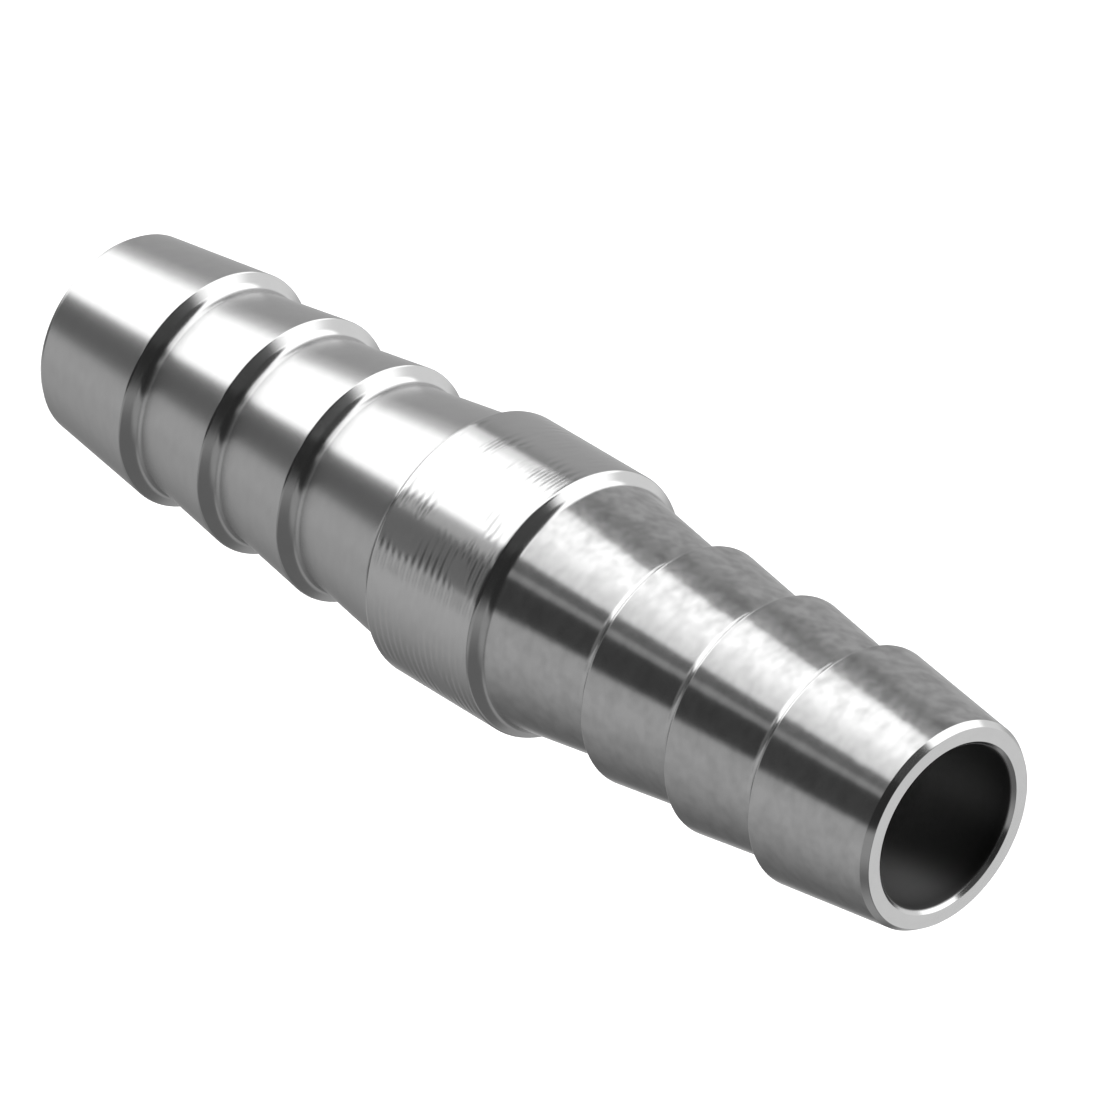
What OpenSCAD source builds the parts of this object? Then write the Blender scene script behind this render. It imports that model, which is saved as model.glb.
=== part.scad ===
// Straight hose splice connector, turned from one stainless steel bar.
// A plain collar in the middle stops the hose ends, and a barbed tail on each side grips one of them.
// The part stands on one end: the origin is at the middle of that end face, and +Z is the axis.
// All sizes are in millimetres.

/* [Overall] */
// Length over both end faces
length = 50; // [42:1:80]
// Diameter of the bore that runs right through
bore_d = 7.3; // [4:0.1:8]
// Chamfer at each mouth of the bore
bore_chamfer = 0.2; // [0.1:0.05:0.4]

/* [Collar] */
// Diameter of the collar
collar_d = 12.1; // [11.5:0.1:18]
// Length of the collar's straight wall
collar_l = 5.8; // [2:0.1:12]
// Length of the slope at each side of the collar
collar_slope_l = 0.55; // [0.3:0.05:2]
// Rounding of the collar's edges
collar_edge_r = 0.12; // [0.05:0.01:0.2]

/* [Neck] */
// Diameter of the cone beside the collar, where it meets the collar's slope
neck_d = 11.1; // [10:0.1:11.4]

/* [Barbs] */
// Number of barbs on each tail
barb_count = 3; // [1:1:3]
// Distance from one crest to the next
barb_pitch = 4.9; // [3.5:0.1:6.5]
// Diameter over the crests
crest_d = 10.8; // [10.2:0.1:13]
// Length of the narrow flat land on each crest
land_l = 0.4; // [0.2:0.05:1]
// Length of the steep shoulder behind each crest, on the side of the collar
shoulder_l = 0.55; // [0.3:0.05:1.5]
// Rounding of the crest where the shoulder meets the land
crest_edge_r = 0.2; // [0.05:0.05:0.3]
// Diameter at the foot of each shoulder
foot_d = 9.55; // [9:0.05:10]
// Fillet that the turning tool leaves in the foot of each slope and shoulder
foot_fillet_r = 0.2; // [0.05:0.05:0.4]

/* [Tip] */
// Distance from the end face to the back edge of the nearest crest
nose_l = 5.95; // [3:0.05:9]
// Outer diameter of the flat end face
face_d = 8.95; // [8.6:0.05:9.2]
// Length of the broken edge round the end face
break_l = 0.3; // [0.1:0.05:0.6]
// Depth of the broken edge round the end face
break_h = 0.2; // [0.1:0.05:0.4]

/* [Hidden] */
$fn = 120;
// Flats that make up each rounding of the outline
arc_steps = 5;
// How far the bore's cutter runs past each end face
cut_past = bore_chamfer;
middle = length / 2;

function unit(v) = v / norm(v);

// Points of the arc that rounds the corner b between a and c. A radius of 0 keeps the corner sharp.
function rounded_corner(a, b, c, r) =
    let (
        to_a = unit(a - b),
        to_c = unit(c - b),
        half_angle = acos(to_a * to_c) / 2,
        reach = r / tan(half_angle),
        centre = b + unit(to_a + to_c) * r / sin(half_angle),
        first = b + to_a * reach - centre,
        last = b + to_c * reach - centre,
        turn = 180 - 2 * half_angle
    )
    r == 0
        ? [b]
        : [
            for (i = [0:arc_steps])
                let (t = i / arc_steps * turn)
                    centre + (first * sin(turn - t) + last * sin(t)) / sin(turn)
        ];

// One barb, whose crest has its back edge at the distance s from the middle of the part.
// Each corner is its distance from the middle, its radius and its rounding.
function barb_corners(s) = [
    [s - shoulder_l, foot_d / 2, foot_fillet_r],
    [s, crest_d / 2, crest_edge_r],
    [s + land_l, crest_d / 2, 0],
];

// Corners of half of the outline, from the middle of the collar to an end face.
half_corners = concat(
    [
        [0, collar_d / 2, 0],
        [collar_l / 2, collar_d / 2, collar_edge_r],
        [collar_l / 2 + collar_slope_l, neck_d / 2, foot_fillet_r],
    ],
    [for (i = [barb_count - 1:-1:0]) each barb_corners(middle - nose_l - i * barb_pitch)],
    [
        [middle - break_l, face_d / 2 + break_h, 0],
        [middle, face_d / 2, 0],
        [middle, 0, 0],
    ]
);

// A corner as a point of radius and height over the middle.
function point(corner) = [corner[1], corner[0]];

// The half outline with its roundings worked out.
half_outline = [
    for (i = [1:len(half_corners) - 2])
        each rounded_corner(
            point(half_corners[i - 1]),
            point(half_corners[i]),
            point(half_corners[i + 1]),
            half_corners[i][2]
        )
];

// The solid blank: the half outline and its mirror image below the middle, turned about the axis.
module turned_blank() {
    rotate_extrude()
        polygon(concat(
            [[0, 0]],
            [for (i = [len(half_outline) - 1:-1:0]) [half_outline[i][0], middle - half_outline[i][1]]],
            [for (p = half_outline) [p[0], middle + p[1]]],
            [[0, length]]
        ));
}

// The bore with its two chamfered mouths, as the body that is cut away.
module bore_cutter() {
    rotate_extrude()
        polygon([
            [0, -cut_past],
            [bore_d / 2 + bore_chamfer + cut_past, -cut_past],
            [bore_d / 2, bore_chamfer],
            [bore_d / 2, length - bore_chamfer],
            [bore_d / 2 + bore_chamfer + cut_past, length + cut_past],
            [0, length + cut_past],
        ]);
}

module splice_body() {
    color("#b9bbbc")
        difference() {
            turned_blank();
            bore_cutter();
        }
}

splice_body();
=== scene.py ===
"""Straight hose splice connector in turned stainless steel, standing on one end.

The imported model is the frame. The turned body is made again as one lathed mesh with fine roundings,
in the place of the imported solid. Sizes are in metres unless a name or a comment says otherwise.
"""
import math
from typing import NamedTuple

import bpy
from bpy.props import FloatProperty, IntProperty, PointerProperty, StringProperty
from mathutils import Matrix, Vector


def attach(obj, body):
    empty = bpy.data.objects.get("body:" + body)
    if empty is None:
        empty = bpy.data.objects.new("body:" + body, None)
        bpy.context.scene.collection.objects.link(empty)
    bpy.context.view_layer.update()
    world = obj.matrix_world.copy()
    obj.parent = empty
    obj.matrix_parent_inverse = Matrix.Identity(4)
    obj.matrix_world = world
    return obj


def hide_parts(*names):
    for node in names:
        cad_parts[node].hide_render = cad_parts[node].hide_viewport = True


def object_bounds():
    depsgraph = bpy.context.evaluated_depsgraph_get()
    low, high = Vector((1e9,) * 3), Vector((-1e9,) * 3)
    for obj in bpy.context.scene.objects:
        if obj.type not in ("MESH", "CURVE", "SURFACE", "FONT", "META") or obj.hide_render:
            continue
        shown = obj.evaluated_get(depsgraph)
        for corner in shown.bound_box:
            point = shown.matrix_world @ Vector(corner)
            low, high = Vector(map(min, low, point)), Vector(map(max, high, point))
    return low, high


bl_info = {
    "name": "Hose splice connector",
    "version": (1, 0, 0),
    "blender": (4, 5, 0),
    "location": "3D View > Sidebar > Hose splice",
    "description": "Builds a double-ended hose splice connector and its studio",
    "category": "Add Mesh",
}

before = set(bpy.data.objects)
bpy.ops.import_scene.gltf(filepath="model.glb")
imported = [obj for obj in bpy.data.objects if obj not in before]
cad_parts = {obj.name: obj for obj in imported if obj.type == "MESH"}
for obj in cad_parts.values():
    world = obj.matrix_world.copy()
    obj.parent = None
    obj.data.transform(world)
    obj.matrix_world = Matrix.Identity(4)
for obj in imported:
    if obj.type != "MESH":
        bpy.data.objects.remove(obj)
cad_low, cad_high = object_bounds()

MM = 0.001
PHOTO_WIDTH = 1106
PHOTO_HEIGHT = 1100


# Sizes and looks that a user would change

def millimetres(label, about, value):
    """A length property whose default is given in millimetres."""
    return FloatProperty(
        name=label, description=about, default=value * MM, min=0.0,
        precision=5, unit="LENGTH", subtype="DISTANCE",
    )


def share(label, about, value):
    """A property that runs from 0 to 1."""
    return FloatProperty(name=label, description=about, default=value, min=0.0, max=1.0)


class SpliceSizes(bpy.types.PropertyGroup):
    """Sizes of the turned body."""

    length: FloatProperty(
        name="Length", description="Length over both end faces", default=cad_high.z - cad_low.z,
        precision=5, unit="LENGTH", subtype="DISTANCE",
    )
    collar_d: FloatProperty(
        name="Collar", description="Diameter of the collar", default=cad_high.x - cad_low.x,
        precision=5, unit="LENGTH", subtype="DISTANCE",
    )
    bore_d: millimetres("Bore", "Diameter of the through bore", 7.3)
    bore_chamfer: millimetres("Bore chamfer", "Chamfer at each mouth of the bore", 0.2)
    collar_l: millimetres("Collar length", "Length of the collar between the tops of its slopes", 6.12)
    collar_slope_l: millimetres("Collar slope", "Length of the slope at each side of the collar", 0.38)
    collar_edge_r: millimetres("Collar edge", "Rounding of the collar's edges", 0.22)
    neck_d: millimetres("Neck", "Diameter of the cone beside the collar", 11.1)
    barb_count: IntProperty(name="Barbs", description="Barbs on each tail", default=3, min=1, max=3)
    barb_pitch: millimetres("Barb pitch", "Distance from one crest to the next", 4.9)
    crest_d: millimetres("Crests", "Diameter at the corner of each crest, before it is rounded", 10.82)
    shoulder_l: millimetres("Shoulder", "Length of the steep shoulder behind each crest", 0.43)
    crest_edge_r: millimetres("Crest edge", "Rounding of each crest", 0.1)
    foot_d: millimetres("Feet", "Diameter at the foot of each shoulder", 9.49)
    foot_fillet_r: millimetres("Foot fillet", "Fillet that the turning tool leaves in each foot", 0.5)
    nose_l: millimetres("Nose", "Distance from the end face to the nearest crest", 6.0)
    face_d: millimetres("End face", "Outer diameter of the flat end face", 8.95)
    break_l: millimetres("Break length", "Length of the broken edge round the end face", 0.3)
    break_h: millimetres("Break depth", "Depth of the broken edge round the end face", 0.2)
    fine_edge_r: millimetres("Fine edges", "Rounding of the edges that the tool leaves sharp", 0.04)
    steps_round: IntProperty(name="Steps round", description="Flats round the axis", default=180, min=24)


class SpliceFinish(bpy.types.PropertyGroup):
    """Finish of the turned steel."""

    steel: StringProperty(name="Steel", description="Colour of the steel, sRGB hex", default="#C6C6C6")
    upper_roughness: share("Upper roughness", "Roughness of the collar and the upper tail", 0.2)
    lower_roughness: share("Lower roughness", "Roughness of the lower tail", 0.27)
    shoulder_roughness: share("Shoulder roughness", "Roughness of shoulders, slopes and end faces", 0.18)
    bore_roughness: share("Bore roughness", "Roughness of the drilled bore", 0.6)
    grain: share("Grain", "How much the marks of turning stretch the gloss", 0.8)
    # Painted shade: how far the bore's colour is darkened towards black, at its mouths and inside.
    mouth_painted_shade: share("Mouth darkness", "How much the bore's mouths are darkened", 0.86)
    deep_bore_painted_shade: share("Deep bore darkness", "How much the inside of the bore is darkened", 0.2)
    collar_feed: millimetres("Collar feed", "Distance between the rings of the feed on the collar", 0.38)
    collar_depth: millimetres("Ring depth", "Half the depth of the rings on the collar", 0.006)
    cloud_size: millimetres("Mark size", "Size of the cloudy marks round the axis", 0.75)
    cloud_depth: millimetres("Mark depth", "Depth of the cloudy marks", 0.0035)
    cloud_stretch: FloatProperty(
        name="Mark stretch", description="How much longer the cloudy marks are round the axis than along it",
        default=1.5, min=1, max=10,
    )
    dullness: share("Dullness", "How much the cloudy marks darken the surface", 0.14)
    handled_marks: FloatProperty(
        name="Handled marks", description="Strength of the marks on the handled side of the upper tail",
        default=2.2, min=0, max=5,
    )
    faint_marks: share("Faint marks", "Strength of the marks on the collar and the lower tail", 0.25)
    steep_marks: share("Steep marks", "Strength of the marks on shoulders, slopes and end faces", 0.2)


class SpliceStudio(bpy.types.PropertyGroup):
    """Floor, light and camera."""

    floor: StringProperty(name="Floor", description="Colour of the floor, sRGB hex", default="#EEEEEE")
    floor_r: FloatProperty(
        name="Floor radius", description="Radius of the round floor", default=1.5,
        unit="LENGTH", subtype="DISTANCE",
    )
    lamp_d: FloatProperty(
        name="Lamp", description="Diameter of the overhead lamp", default=0.7,
        unit="LENGTH", subtype="DISTANCE",
    )
    lamp_height: FloatProperty(
        name="Lamp height", description="Height of the overhead lamp over the floor", default=1.2,
        unit="LENGTH", subtype="DISTANCE",
    )
    lamp_power: FloatProperty(name="Lamp power", description="Power of the lamp", default=20.0, unit="POWER")
    elevation: FloatProperty(
        name="Elevation", description="Camera's height over the floor", default=math.radians(37.23),
        subtype="ANGLE",
    )
    roll: FloatProperty(
        name="Roll", description="Camera's turn about its line of sight", default=math.radians(120.794),
        subtype="ANGLE",
    )
    focal_px: FloatProperty(name="Focal length", description="Focal length in photo pixels", default=14274.0)
    end_x: FloatProperty(
        name="End X", description="Upper end face's centre in the photo, pixels", default=948.35
    )
    end_y: FloatProperty(
        name="End Y", description="Upper end face's centre in the photo, pixels", default=828.66
    )
    end_depth: millimetres("End depth", "Distance of the upper end face along the line of sight", 573.4)


# Node helpers

def to_linear(colour):
    """Linear RGBA of an sRGB hex colour."""
    parts = [int(colour[i:i + 2], 16) / 255 for i in (1, 3, 5)]
    return [c / 12.92 if c <= 0.04045 else ((c + 0.055) / 1.055) ** 2.4 for c in parts] + [1.0]


def add(tree, kind, settings=(), inputs=()):
    """Add one node, with its settings, and with its inputs set or linked.

    An input is called by its name, or by its number where several inputs share a name.
    """
    node = tree.nodes.new(kind)
    for key, value in dict(settings).items():
        setattr(node, key, value)
    for key, value in dict(inputs).items():
        if isinstance(value, bpy.types.Node):
            value = value.outputs[0]
        if isinstance(value, bpy.types.NodeSocket):
            tree.links.new(value, node.inputs[key])
        else:
            node.inputs[key].default_value = value
    return node


# Outline of the turned body

def outline_corners(sizes):
    """Corners of the closed outline as (radius, height, rounding), up the outside and down the bore."""
    middle = sizes.length / 2
    half = [
        (sizes.collar_l / 2, sizes.collar_d / 2, sizes.collar_edge_r),
        (sizes.collar_l / 2 + sizes.collar_slope_l, sizes.neck_d / 2, sizes.foot_fillet_r),
    ]
    for i in reversed(range(sizes.barb_count)):
        crest = middle - sizes.nose_l - i * sizes.barb_pitch
        half += [
            (crest - sizes.shoulder_l, sizes.foot_d / 2, sizes.foot_fillet_r),
            (crest, sizes.crest_d / 2, sizes.crest_edge_r),
        ]
    half += [
        (middle - sizes.break_l, sizes.face_d / 2 + sizes.break_h, sizes.fine_edge_r),
        (middle, sizes.face_d / 2, sizes.fine_edge_r),
    ]
    mouth = [
        (middle, sizes.bore_d / 2 + sizes.bore_chamfer, sizes.fine_edge_r),
        (middle - sizes.bore_chamfer, sizes.bore_d / 2, sizes.fine_edge_r),
    ]
    upper = [(r, middle + s, edge) for s, r, edge in half]
    lower = [(r, middle - s, edge) for s, r, edge in reversed(half)]
    upper_mouth = [(r, middle + s, edge) for s, r, edge in mouth]
    lower_mouth = [(r, middle - s, edge) for s, r, edge in reversed(mouth)]
    return lower + upper + upper_mouth + lower_mouth


def rounded_outline(corners, steps=7, guard=0.025 * MM):
    """Points of the outline. Each rounding is an arc, with one point just outside each of its ends."""
    points = []
    for i, (radius, height, rounding) in enumerate(corners):
        corner = Vector((radius, height))
        to_last = (Vector(corners[i - 1][:2]) - corner).normalized()
        to_next = (Vector(corners[(i + 1) % len(corners)][:2]) - corner).normalized()
        half_angle = to_last.angle(to_next) / 2
        reach = rounding / math.tan(half_angle)
        centre = corner + (to_last + to_next).normalized() * rounding / math.sin(half_angle)
        first = corner + to_last * reach - centre
        last = corner + to_next * reach - centre
        turn = math.pi - 2 * half_angle
        points.append(corner + to_last * (reach + guard))
        for k in range(steps + 1):
            t = turn * k / steps
            points.append(centre + (first * math.sin(turn - t) + last * math.sin(t)) / math.sin(turn))
        points.append(corner + to_next * (reach + guard))
    return points


# Lathe as geometry nodes

# Points nearer than this are one point, which closes the seam of the lathed body.
MERGE_DISTANCE = 0.0005 * MM


def lathe_tree():
    """Geometry nodes that turn the points of an outline in the XZ plane into a closed body about Z."""
    tree = bpy.data.node_groups.new("Lathe", "GeometryNodeTree")
    face = tree.interface
    face.new_socket("Outline", in_out="INPUT", socket_type="NodeSocketGeometry")
    steps = face.new_socket("Steps round", in_out="INPUT", socket_type="NodeSocketInt")
    merge = face.new_socket("Merge distance", in_out="INPUT", socket_type="NodeSocketFloat")
    finish = face.new_socket("Finish", in_out="INPUT", socket_type="NodeSocketMaterial")
    face.new_socket("Body", in_out="OUTPUT", socket_type="NodeSocketGeometry")
    given = add(tree, "NodeGroupInput").outputs
    size = add(tree, "GeometryNodeAttributeDomainSize", {}, {"Geometry": given["Outline"]}).outputs
    count = size["Point Count"]
    # A grid with one column more than the steps and one row more than the points, so both ways close.
    columns = add(tree, "ShaderNodeMath", {"operation": "ADD"}, {0: given["Steps round"], 1: 1.0})
    rows = add(tree, "ShaderNodeMath", {"operation": "ADD"}, {0: count, 1: 1.0})
    grid = add(tree, "GeometryNodeMeshGrid", {}, {"Vertices X": columns, "Vertices Y": rows})
    index = add(tree, "GeometryNodeInputIndex")
    column = add(tree, "ShaderNodeMath", {"operation": "DIVIDE"}, {0: index, 1: rows})
    column = add(tree, "ShaderNodeMath", {"operation": "FLOOR"}, {0: column})
    row = add(tree, "ShaderNodeMath", {"operation": "MODULO"}, {0: index, 1: rows})
    row = add(tree, "ShaderNodeMath", {"operation": "MODULO"}, {0: row, 1: count})
    # Each row takes the place of its outline point, turned about Z by its column.
    place = add(tree, "GeometryNodeInputPosition")
    point = add(
        tree, "GeometryNodeSampleIndex", {"data_type": "FLOAT_VECTOR", "domain": "POINT"},
        {"Geometry": given["Outline"], "Value": place, "Index": row},
    )
    turn = add(tree, "ShaderNodeMath", {"operation": "DIVIDE"}, {0: column, 1: given["Steps round"]})
    turn = add(tree, "ShaderNodeMath", {"operation": "MULTIPLY"}, {0: turn, 1: math.tau})
    turned = add(
        tree, "ShaderNodeVectorRotate", {"rotation_type": "Z_AXIS"}, {"Vector": point, "Angle": turn}
    )
    body = add(tree, "GeometryNodeSetPosition", {}, {"Geometry": grid.outputs["Mesh"], "Position": turned})
    body = add(
        tree, "GeometryNodeMergeByDistance", {}, {"Geometry": body, "Distance": given["Merge distance"]}
    )
    body = add(tree, "GeometryNodeSetShadeSmooth", {}, {"Geometry": body})
    body = add(tree, "GeometryNodeRealizeInstances", {}, {"Geometry": body})
    body = add(tree, "GeometryNodeSetMaterial", {}, {"Geometry": body, "Material": given["Finish"]})
    add(tree, "NodeGroupOutput", {}, {"Body": body})
    return tree, {"steps": steps.identifier, "merge": merge.identifier, "finish": finish.identifier}


def lathed_body(name, points, steps_round, material):
    """A plain mesh object: the outline's points turned about Z by the lathe."""
    outline = bpy.data.meshes.new(name + "_outline")
    outline.from_pydata([(p.x, 0.0, p.y) for p in points], [], [])
    maker = bpy.data.objects.new(name + "_maker", outline)
    bpy.context.scene.collection.objects.link(maker)
    tree, sockets = lathe_tree()
    modifier = maker.modifiers.new("Lathe", "NODES")
    modifier.node_group = tree
    modifier[sockets["steps"]] = steps_round
    modifier[sockets["merge"]] = MERGE_DISTANCE
    modifier[sockets["finish"]] = material
    graph = bpy.context.evaluated_depsgraph_get()
    mesh = bpy.data.meshes.new_from_object(maker.evaluated_get(graph))
    mesh.name = name
    bpy.data.objects.remove(maker)
    body = bpy.data.objects.new(name, mesh)
    bpy.context.scene.collection.objects.link(body)
    return body


# Finish. The places and sizes in this section are in millimetres.

# How far the surface's normal points along the axis, from 0 to 1. Cones and the collar's wall lie below
# the first value, and shoulders, slopes and end faces lie above the second.
GENTLE = 0.3
STEEP = 0.5
# A spot belongs to the bore up to the first gap past the bore's radius, and not at all from the second on.
BORE_INNER_GAP = 0.02
BORE_OUTER_GAP = 0.08
# Depths under an end face between which the bore's painted shade changes from the mouth's to the inside's.
MOUTH_DEPTH = 0.5
DEEP_DEPTH = 4.5
# The rings come and go in patches of this size, where the patches' noise rises from the first level
# to the second.
RING_PATCH = 1.25
RING_PATCH_LEVELS = (0.42, 0.62)
# How far the rings take to fade in from the collar's edges, and the marks from the collar to the upper tail.
RING_FADE = 0.25
MARK_FADE = 0.5
# The handled side of the upper tail: the marks grow from the first X to the second.
HANDLED_X = (-1.2, -2.4)
# Levels of the clouds' noise between which they dull the surface, and how rough that noise is.
DULL_LEVELS = (0.35, 0.75)
CLOUD_ROUGHNESS = 0.6
# Heights from the middle between which the silky finish of the lower tail changes to the bright one.
SILKY_HEIGHTS = (-4.0, -3.0)
QUARTER_TURN = 0.25


def body_places(tree, sizes):
    """Where a spot of the surface lies on the body, as sockets that the finish reads.

    Where a ring of turning lies is its height plus its radius, so it also counts on flat faces.
    """
    place = add(tree, "ShaderNodeTexCoord").outputs["Object"]
    place = add(tree, "ShaderNodeVectorMath", {"operation": "SCALE"}, {0: place, "Scale": 1 / MM})
    xyz = add(tree, "ShaderNodeSeparateXYZ", {}, {0: place}).outputs
    minus_y = add(tree, "ShaderNodeMath", {"operation": "MULTIPLY"}, {0: xyz["Y"], 1: -1.0})
    round_axis = add(tree, "ShaderNodeCombineXYZ", {}, {"X": minus_y, "Y": xyz["X"]})
    radius = add(tree, "ShaderNodeVectorMath", {"operation": "LENGTH"}, {0: round_axis}).outputs["Value"]
    along = add(tree, "ShaderNodeMath", {"operation": "ADD"}, {0: xyz["Z"], 1: radius})
    from_middle = add(
        tree, "ShaderNodeMath", {"operation": "SUBTRACT"}, {0: xyz["Z"], 1: sizes.length / 2 / MM}
    )
    beside = add(tree, "ShaderNodeMath", {"operation": "ABSOLUTE"}, {0: from_middle})
    leaning = add(tree, "ShaderNodeNewGeometry").outputs["True Normal"]
    leaning = add(tree, "ShaderNodeSeparateXYZ", {}, {0: leaning}).outputs["Z"]
    steepness = add(tree, "ShaderNodeMath", {"operation": "ABSOLUTE"}, {0: leaning})
    bore_r = sizes.bore_d / 2 / MM
    in_bore = add(
        tree, "ShaderNodeMapRange", {},
        {"Value": radius, "From Min": bore_r + BORE_OUTER_GAP, "From Max": bore_r + BORE_INNER_GAP},
    )
    return {
        "place": place, "x": xyz["X"], "y": xyz["Y"], "along": along, "round_axis": round_axis,
        "from_middle": from_middle, "beside": beside, "steepness": steepness, "in_bore": in_bore,
    }


def bore_painted_shade(tree, places, finish, sizes):
    """Painted shade in the bore: how much its colour is darkened, most at its mouths, as the inside gets
    little light anyway.
    """
    middle = sizes.length / 2 / MM
    dark = add(
        tree, "ShaderNodeMapRange", {},
        {"Value": places["beside"], "From Min": middle - DEEP_DEPTH, "From Max": middle - MOUTH_DEPTH,
         "To Min": finish.deep_bore_painted_shade, "To Max": finish.mouth_painted_shade},
    )
    return add(tree, "ShaderNodeMath", {"operation": "MULTIPLY"}, {0: places["in_bore"], 1: dark})


def collar_rings(tree, places, finish, sizes):
    """Height of the rings of the feed, which lie only on the collar and come and go in patches."""
    turns = add(
        tree, "ShaderNodeMath", {"operation": "MULTIPLY"},
        {0: places["along"], 1: math.tau * MM / finish.collar_feed},
    )
    waves = add(tree, "ShaderNodeMath", {"operation": "SINE"}, {0: turns})
    patches = add(
        tree, "ShaderNodeTexNoise", {}, {"Vector": places["place"], "Scale": 1 / RING_PATCH, "Detail": 0.0}
    )
    patches = add(
        tree, "ShaderNodeMapRange", {},
        {"Value": patches, "From Min": RING_PATCH_LEVELS[0], "From Max": RING_PATCH_LEVELS[1]},
    )
    half_collar = sizes.collar_l / 2 / MM
    on_collar = add(
        tree, "ShaderNodeMapRange", {},
        {"Value": places["beside"], "From Min": half_collar, "From Max": half_collar - RING_FADE},
    )
    rings = add(tree, "ShaderNodeMath", {"operation": "MULTIPLY"}, {0: waves, 1: patches})
    rings = add(tree, "ShaderNodeMath", {"operation": "MULTIPLY"}, {0: rings, 1: on_collar})
    return add(tree, "ShaderNodeMath", {"operation": "MULTIPLY"}, {0: rings, 1: finish.collar_depth / MM})


def cloudy_marks(tree, places, finish):
    """Noise of the cloudy marks, drawn out round the axis."""
    squeezed = add(
        tree, "ShaderNodeMath", {"operation": "MULTIPLY"}, {0: places["along"], 1: finish.cloud_stretch}
    )
    at = add(tree, "ShaderNodeCombineXYZ", {}, {"X": places["x"], "Y": places["y"], "Z": squeezed})
    return add(
        tree, "ShaderNodeTexNoise", {},
        {"Vector": at, "Scale": MM / finish.cloud_size, "Detail": 1.0, "Roughness": CLOUD_ROUGHNESS},
    )


def mark_strength(tree, places, finish, sizes):
    """How strong the cloudy marks are: most on the upper tail's handled side, and none in the bore."""
    half_collar = sizes.collar_l / 2 / MM
    handled = add(
        tree, "ShaderNodeMapRange", {},
        {"Value": places["x"], "From Min": HANDLED_X[0], "From Max": HANDLED_X[1],
         "To Min": 1.0, "To Max": finish.handled_marks},
    )
    strength = add(
        tree, "ShaderNodeMapRange", {},
        {"Value": places["from_middle"], "From Min": half_collar, "From Max": half_collar + MARK_FADE,
         "To Min": finish.faint_marks, "To Max": handled},
    )
    strength = add(
        tree, "ShaderNodeMapRange", {},
        {"Value": places["steepness"], "From Min": GENTLE, "From Max": STEEP,
         "To Min": strength, "To Max": finish.steep_marks},
    )
    return add(
        tree, "ShaderNodeMapRange", {}, {"Value": places["in_bore"], "To Min": strength, "To Max": 0.0}
    )


def steel_roughness(tree, places, finish):
    """The lower tail is silkier than the rest, and the bore is as the drill left it."""
    roughness = add(
        tree, "ShaderNodeMapRange", {"interpolation_type": "SMOOTHSTEP"},
        {"Value": places["from_middle"], "From Min": SILKY_HEIGHTS[0], "From Max": SILKY_HEIGHTS[1],
         "To Min": finish.lower_roughness, "To Max": finish.upper_roughness},
    )
    roughness = add(
        tree, "ShaderNodeMapRange", {},
        {"Value": places["steepness"], "From Min": GENTLE, "From Max": STEEP,
         "To Min": roughness, "To Max": finish.shoulder_roughness},
    )
    return add(
        tree, "ShaderNodeMix", {"data_type": "FLOAT"},
        {0: places["in_bore"], 2: roughness, 3: finish.bore_roughness},
    )


def turned_stainless_steel(finish, sizes):
    """Stainless steel (304), turned on a lathe and left bright.

    The rings that the tool leaves stretch each reflection along the axis and keep its borders round
    the axis sharp, so long white and dark bands run along the body. The finest rings are too fine to
    draw and only stretch the gloss. Wider ones show on the collar. The upper tail is clouded, as steel
    is that has been handled, and the lower tail is silky. The bore's colour is darkened as painted shade.
    """
    material = bpy.data.materials.new("turned_stainless_steel")
    material.use_nodes = True
    tree = material.node_tree
    tree.nodes.clear()
    places = body_places(tree, sizes)
    clouds = cloudy_marks(tree, places, finish)
    strength = mark_strength(tree, places, finish, sizes)

    marks = add(tree, "ShaderNodeMath", {"operation": "MULTIPLY"}, {0: clouds, 1: strength})
    depth = add(
        tree, "ShaderNodeMath", {"operation": "MULTIPLY_ADD"},
        {0: marks, 1: finish.cloud_depth / MM, 2: collar_rings(tree, places, finish, sizes)},
    )
    relief = add(tree, "ShaderNodeBump", {}, {"Strength": 1.0, "Distance": MM, "Height": depth})

    # The marks also make the surface a little duller, and the bore's colour is darkened towards black as
    # painted shade.
    dullness_and_painted_shade = add(
        tree, "ShaderNodeMapRange", {},
        {"Value": clouds, "From Min": DULL_LEVELS[0], "From Max": DULL_LEVELS[1],
         "To Min": 0.0, "To Max": finish.dullness},
    )
    dullness_and_painted_shade = add(tree, "ShaderNodeMath", {"operation": "MULTIPLY"}, {0: dullness_and_painted_shade, 1: strength})
    dullness_and_painted_shade = add(
        tree, "ShaderNodeMath", {"operation": "ADD"},
        {0: bore_painted_shade(tree, places, finish, sizes), 1: dullness_and_painted_shade},
    )
    colour = add(
        tree, "ShaderNodeMix", {"data_type": "RGBA"},
        {0: dullness_and_painted_shade, 6: to_linear(finish.steel), 7: to_linear("#000000")},
    )
    shader = add(
        tree, "ShaderNodeBsdfPrincipled", {},
        {"Base Color": colour.outputs[2], "Metallic": 1.0,
         "Roughness": steel_roughness(tree, places, finish), "Normal": relief,
         "Anisotropic": finish.grain, "Anisotropic Rotation": QUARTER_TURN,
         "Tangent": places["round_axis"]},
    )
    add(tree, "ShaderNodeOutputMaterial", {}, {"Surface": shader})
    return material


# Studio

class SoftPanel(NamedTuple):
    """A soft light or dark panel of the studio, with its brightness and its edges.

    Azimuth runs from the camera's side (0) towards the picture's upper right (positive), and height is
    the angle over the floor, both in degrees. An edge is its place and its soft width. Left and right
    edges have their place in azimuth, and bottom and top edges in height. A left or right edge that leans
    gives its azimuth at two heights: (height, azimuth, height, azimuth).
    """

    name: str
    level: float
    left: tuple = None
    right: tuple = None
    bottom: tuple = None
    top: tuple = None


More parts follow.
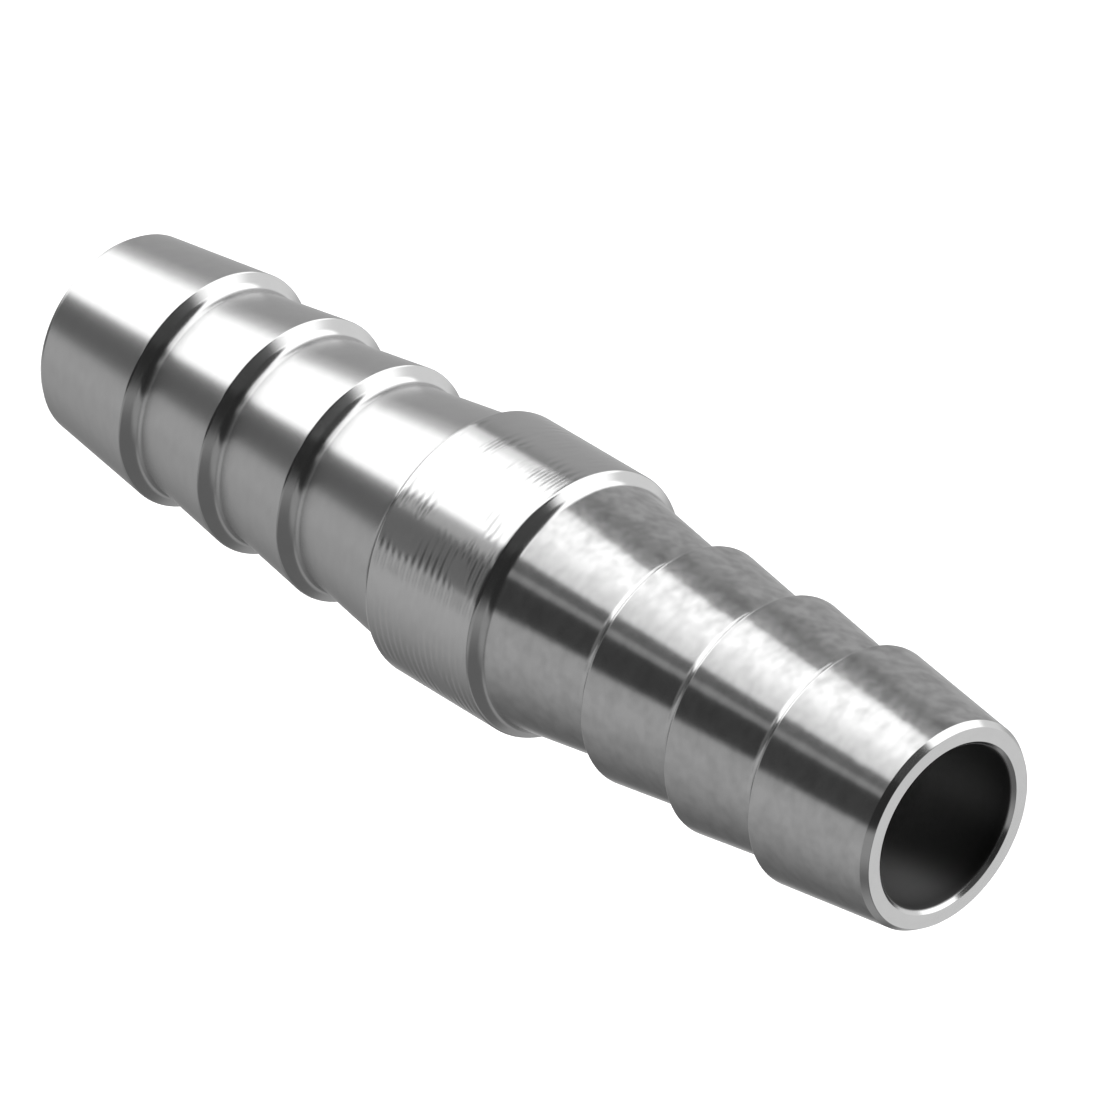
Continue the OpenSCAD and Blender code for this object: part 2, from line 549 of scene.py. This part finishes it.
# Later panels cover earlier ones, and the room shows where there is none.
PANELS = (
    SoftPanel("low walls", 0.44, top=(-42, 20)),
    SoftPanel("left wall", 0.6, left=(-98, 90), right=(-36, 8), top=(-13, 12)),
    SoftPanel("right wall", 0.34, left=(68, 10), top=(-8, 12)),
    SoftPanel("far right wall", 0.49, left=(98, 24), top=(-8, 12)),
    SoftPanel("upper left wall", 0.18, left=(-140, 30), right=(-42, 8), bottom=(-2, 12)),
    SoftPanel("upper left glow", 0.4, left=(-78, 30), right=(-42, 8), bottom=(-2, 12)),
    SoftPanel("left shelf", 0.42, left=(-165, 20), right=(-88, 30), bottom=(-8, 8), top=(10, 8)),
    SoftPanel("near right wall", 0.24, left=(62, 6), right=(92, 16), bottom=(-36, 8), top=(-8, 12)),
    SoftPanel("key softbox", 2.3, left=(10, 5), right=((-35, 89, -27, 57), 6), top=(-2, 12)),
    SoftPanel("key end", 1.8, left=(10, 5), right=(65, 6), bottom=(-30, 7), top=(-14, 8)),
    SoftPanel("key shade", 0.85, left=(8, 4), right=(30, 26), bottom=(-30, 7), top=(-14, 8)),
    SoftPanel("low right wall", 0.45, left=(82, 7), top=(-40, 7)),
    SoftPanel("low flag", 0.14, left=(-37, 9), right=(6, 8), top=(-30, 12)),
    SoftPanel("middle flag", 0.27, left=(-37, 9), right=(-5, 8), bottom=(-45, 8), top=(-30, 8)),
    SoftPanel("flag gap", 0.9, left=(-3, 8), right=(12, 6), bottom=(-43, 6), top=(-30, 8)),
    SoftPanel("collar flag", 0.36, left=(-53, 6), right=(-41, 6), bottom=(-41, 5), top=(-32, 5)),
    SoftPanel("flag", 0.05, left=(-37, 8), right=(-8, 3), bottom=(-30, 10)),
    SoftPanel("flag slit", 0.42, left=(-7, 2), right=(-1, 2), bottom=(-30, 10), top=(0, 10)),
    SoftPanel("flag border", 0.12, left=(-1, 2), right=(10, 4), bottom=(-30, 10), top=(0, 10)),
    SoftPanel("upper flag", 0.035, left=((28, -38, 52, -42), 8), right=(72, 10), bottom=(2, 10)),
    SoftPanel("top flag", 0.035, left=(-62, 12), right=(66, 10), bottom=(60, 10)),
    SoftPanel("upper flag glow", 0.08, left=(15, 10), right=(72, 10), bottom=(8, 12)),
    SoftPanel("side softbox", 2.1, left=((-12, 30, 44, 79), 8), right=(124, 8), bottom=(-8, 8), top=(57, 8)),
    SoftPanel("side glow", 1.05, left=(120, 8), right=(158, 16), bottom=(-12, 8), top=(56, 8)),
    SoftPanel("left backdrop", 0.58, right=(-160, 24)),
    SoftPanel("right backdrop", 0.58, left=(158, 26)),
    SoftPanel("upper left backdrop", 0.95, right=(-158, 20), bottom=(22, 16)),
    SoftPanel("upper right backdrop", 0.95, left=(158, 20), bottom=(22, 16)),
    SoftPanel("low glow", 1.7, left=(88, 12), right=(174, 8), top=(-58, 8)),
    SoftPanel("pit", 0.15, left=(-174, 8), right=(-90, 12), top=(-58, 8)),
)
ROOM_LEVEL = 0.17
BACKGROUND_LEVEL = 1.0


def panel_mask(tree, azimuth, height, panel):
    """Product of the panel's soft edges, from 0 outside it to 1 inside it."""
    mask = 1.0
    edges = (
        (panel.left, azimuth, 1),
        (panel.right, azimuth, -1),
        (panel.bottom, height, 1),
        (panel.top, height, -1),
    )
    for edge, along, inwards in edges:
        if edge is None:
            continue
        place, softness = edge
        if isinstance(place, tuple):
            leaning = add(
                tree, "ShaderNodeMapRange", {},
                {"Value": height, "From Min": place[0], "From Max": place[2],
                 "To Min": place[1], "To Max": place[3]},
            )
            along = add(tree, "ShaderNodeMath", {"operation": "SUBTRACT"}, {0: along, 1: leaning})
            place = 0.0
        inner = inwards * softness / 2
        mask = add(
            tree, "ShaderNodeMapRange", {"interpolation_type": "SMOOTHSTEP"},
            {"Value": along, "From Min": place - inner, "From Max": place + inner, "To Max": mask},
        )
    return mask


def studio_world():
    """Soft panels and dark flags round the part, which its bright surface reflects as long bands.

    The camera sees plain white behind the part.
    """
    world = bpy.data.worlds.new("soft_studio")
    world.use_nodes = True
    bpy.context.scene.world = world
    tree = world.node_tree
    tree.nodes.clear()
    way = add(tree, "ShaderNodeTexCoord").outputs["Generated"]
    xyz = add(tree, "ShaderNodeSeparateXYZ", {}, {0: way}).outputs
    back_x = add(tree, "ShaderNodeMath", {"operation": "MULTIPLY"}, {0: xyz["X"], 1: -1.0})
    back_y = add(tree, "ShaderNodeMath", {"operation": "MULTIPLY"}, {0: xyz["Y"], 1: -1.0})
    azimuth = add(tree, "ShaderNodeMath", {"operation": "ARCTAN2"}, {0: back_x, 1: back_y})
    azimuth = add(tree, "ShaderNodeMath", {"operation": "MULTIPLY"}, {0: azimuth, 1: math.degrees(1)})
    height = add(tree, "ShaderNodeMath", {"operation": "ARCSINE"}, {0: xyz["Z"]})
    height = add(tree, "ShaderNodeMath", {"operation": "MULTIPLY"}, {0: height, 1: math.degrees(1)})
    level = add(tree, "ShaderNodeValue", {"label": "room"})
    level.outputs[0].default_value = ROOM_LEVEL
    for panel in PANELS:
        mask = panel_mask(tree, azimuth, height, panel)
        level = add(
            tree, "ShaderNodeMix", {"data_type": "FLOAT", "label": panel.name},
            {0: mask, 2: level, 3: panel.level},
        )
    white = to_linear("#FFFFFF")
    lit = add(tree, "ShaderNodeBackground", {}, {"Color": white, "Strength": level})
    seen = add(tree, "ShaderNodeBackground", {}, {"Color": white, "Strength": BACKGROUND_LEVEL})
    camera_ray = add(tree, "ShaderNodeLightPath").outputs["Is Camera Ray"]
    out = add(tree, "ShaderNodeMixShader", {}, {0: camera_ray, 1: lit, 2: seen})
    add(tree, "ShaderNodeOutputWorld", {}, {"Surface": out})


def pale_floor(radius, colour, corners=96):
    """Round pale floor. The steel reflects the studio and not the floor, and the floor shades nothing."""
    turns = [math.tau * i / corners for i in range(corners)]
    mesh = bpy.data.meshes.new("studio_floor")
    mesh.from_pydata(
        [(radius * math.cos(t), radius * math.sin(t), 0.0) for t in turns], [], [tuple(range(corners))]
    )
    floor = bpy.data.objects.new("studio_floor", mesh)
    bpy.context.scene.collection.objects.link(floor)
    material = bpy.data.materials.new("matt_floor_paper")
    material.use_nodes = True
    tree = material.node_tree
    tree.nodes.clear()
    shader = add(tree, "ShaderNodeBsdfDiffuse", {}, {"Color": to_linear(colour)})
    add(tree, "ShaderNodeOutputMaterial", {}, {"Surface": shader})
    mesh.materials.append(material)
    floor.visible_glossy = False
    floor.visible_shadow = False


def overhead_light(studio):
    """Wide soft light straight above the part, for the floor. It isn't seen, and throws no shadow."""
    light = bpy.data.lights.new("overhead_light", "AREA")
    light.shape = "DISK"
    light.size = studio.lamp_d
    light.energy = studio.lamp_power
    light.use_shadow = False
    lamp = bpy.data.objects.new("overhead_light", light)
    lamp.location = (0.0, 0.0, studio.lamp_height)
    lamp.visible_camera = False
    lamp.visible_glossy = False
    bpy.context.scene.collection.objects.link(lamp)


def photo_camera(studio, top):
    """Camera at the photo's angle, with the middle of the upper end face on its place in the photo."""
    sine, cosine = math.sin(studio.elevation), math.cos(studio.elevation)
    back = Vector((0.0, -cosine, sine))
    right = Vector((1.0, 0.0, 0.0))
    up = Vector((0.0, sine, cosine))
    x_axis = right * math.cos(studio.roll) + up * math.sin(studio.roll)
    y_axis = up * math.cos(studio.roll) - right * math.sin(studio.roll)
    scale = studio.end_depth / studio.focal_px
    beside = (studio.end_x - PHOTO_WIDTH / 2) * scale
    above = (PHOTO_HEIGHT / 2 - studio.end_y) * scale
    spot = top - x_axis * beside - y_axis * above + back * studio.end_depth
    data = bpy.data.cameras.new("photo_camera")
    data.sensor_fit = "HORIZONTAL"
    data.sensor_width = 36.0
    data.lens = studio.focal_px / PHOTO_WIDTH * data.sensor_width
    data.clip_start = 0.01
    camera = bpy.data.objects.new("photo_camera", data)
    turn = Matrix((x_axis, y_axis, back)).transposed().to_4x4()
    camera.matrix_world = Matrix.Translation(spot) @ turn
    bpy.context.scene.collection.objects.link(camera)
    bpy.context.scene.camera = camera


# Operators and panel

class SPLICE_OT_turned_body(bpy.types.Operator):
    """Make the turned body of the hose splice connector"""

    bl_idname = "hose_splice.turned_body"
    bl_label = "Turned body"

    def execute(self, context):
        scene = context.scene
        points = rounded_outline(outline_corners(scene.splice_sizes))
        steel = turned_stainless_steel(scene.splice_finish, scene.splice_sizes)
        body = lathed_body("splice_body_turned", points, scene.splice_sizes.steps_round, steel)
        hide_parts("splice_body")
        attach(body, "root")
        return {"FINISHED"}


class SPLICE_OT_studio(bpy.types.Operator):
    """Make the floor, the light and the camera"""

    bl_idname = "hose_splice.studio"
    bl_label = "Studio"

    def execute(self, context):
        scene = context.scene
        studio = scene.splice_studio
        studio_world()
        pale_floor(studio.floor_r, studio.floor)
        overhead_light(studio)
        photo_camera(studio, Vector((0.0, 0.0, scene.splice_sizes.length)))
        scene.view_settings.view_transform = "Standard"
        return {"FINISHED"}


class SPLICE_PT_panel(bpy.types.Panel):
    """Lists the pieces of the hose splice connector"""

    bl_label = "Hose splice connector"
    bl_idname = "SPLICE_PT_panel"
    bl_space_type = "VIEW_3D"
    bl_region_type = "UI"
    bl_category = "Hose splice"

    def draw(self, context):
        layout = self.layout
        layout.operator(SPLICE_OT_turned_body.bl_idname)
        layout.operator(SPLICE_OT_studio.bl_idname)
        scene = context.scene
        for group in (scene.splice_sizes, scene.splice_finish, scene.splice_studio):
            box = layout.box()
            for name in group.__annotations__:
                box.prop(group, name)


CLASSES = (
    SpliceSizes,
    SpliceFinish,
    SpliceStudio,
    SPLICE_OT_turned_body,
    SPLICE_OT_studio,
    SPLICE_PT_panel,
)


def register():
    for cls in CLASSES:
        bpy.utils.register_class(cls)
    bpy.types.Scene.splice_sizes = PointerProperty(type=SpliceSizes)
    bpy.types.Scene.splice_finish = PointerProperty(type=SpliceFinish)
    bpy.types.Scene.splice_studio = PointerProperty(type=SpliceStudio)


def unregister():
    del bpy.types.Scene.splice_studio
    del bpy.types.Scene.splice_finish
    del bpy.types.Scene.splice_sizes
    for cls in reversed(CLASSES):
        bpy.utils.unregister_class(cls)


def main():
    register()
    bpy.ops.hose_splice.turned_body()
    bpy.ops.hose_splice.studio()


if __name__ == "__main__":
    main()
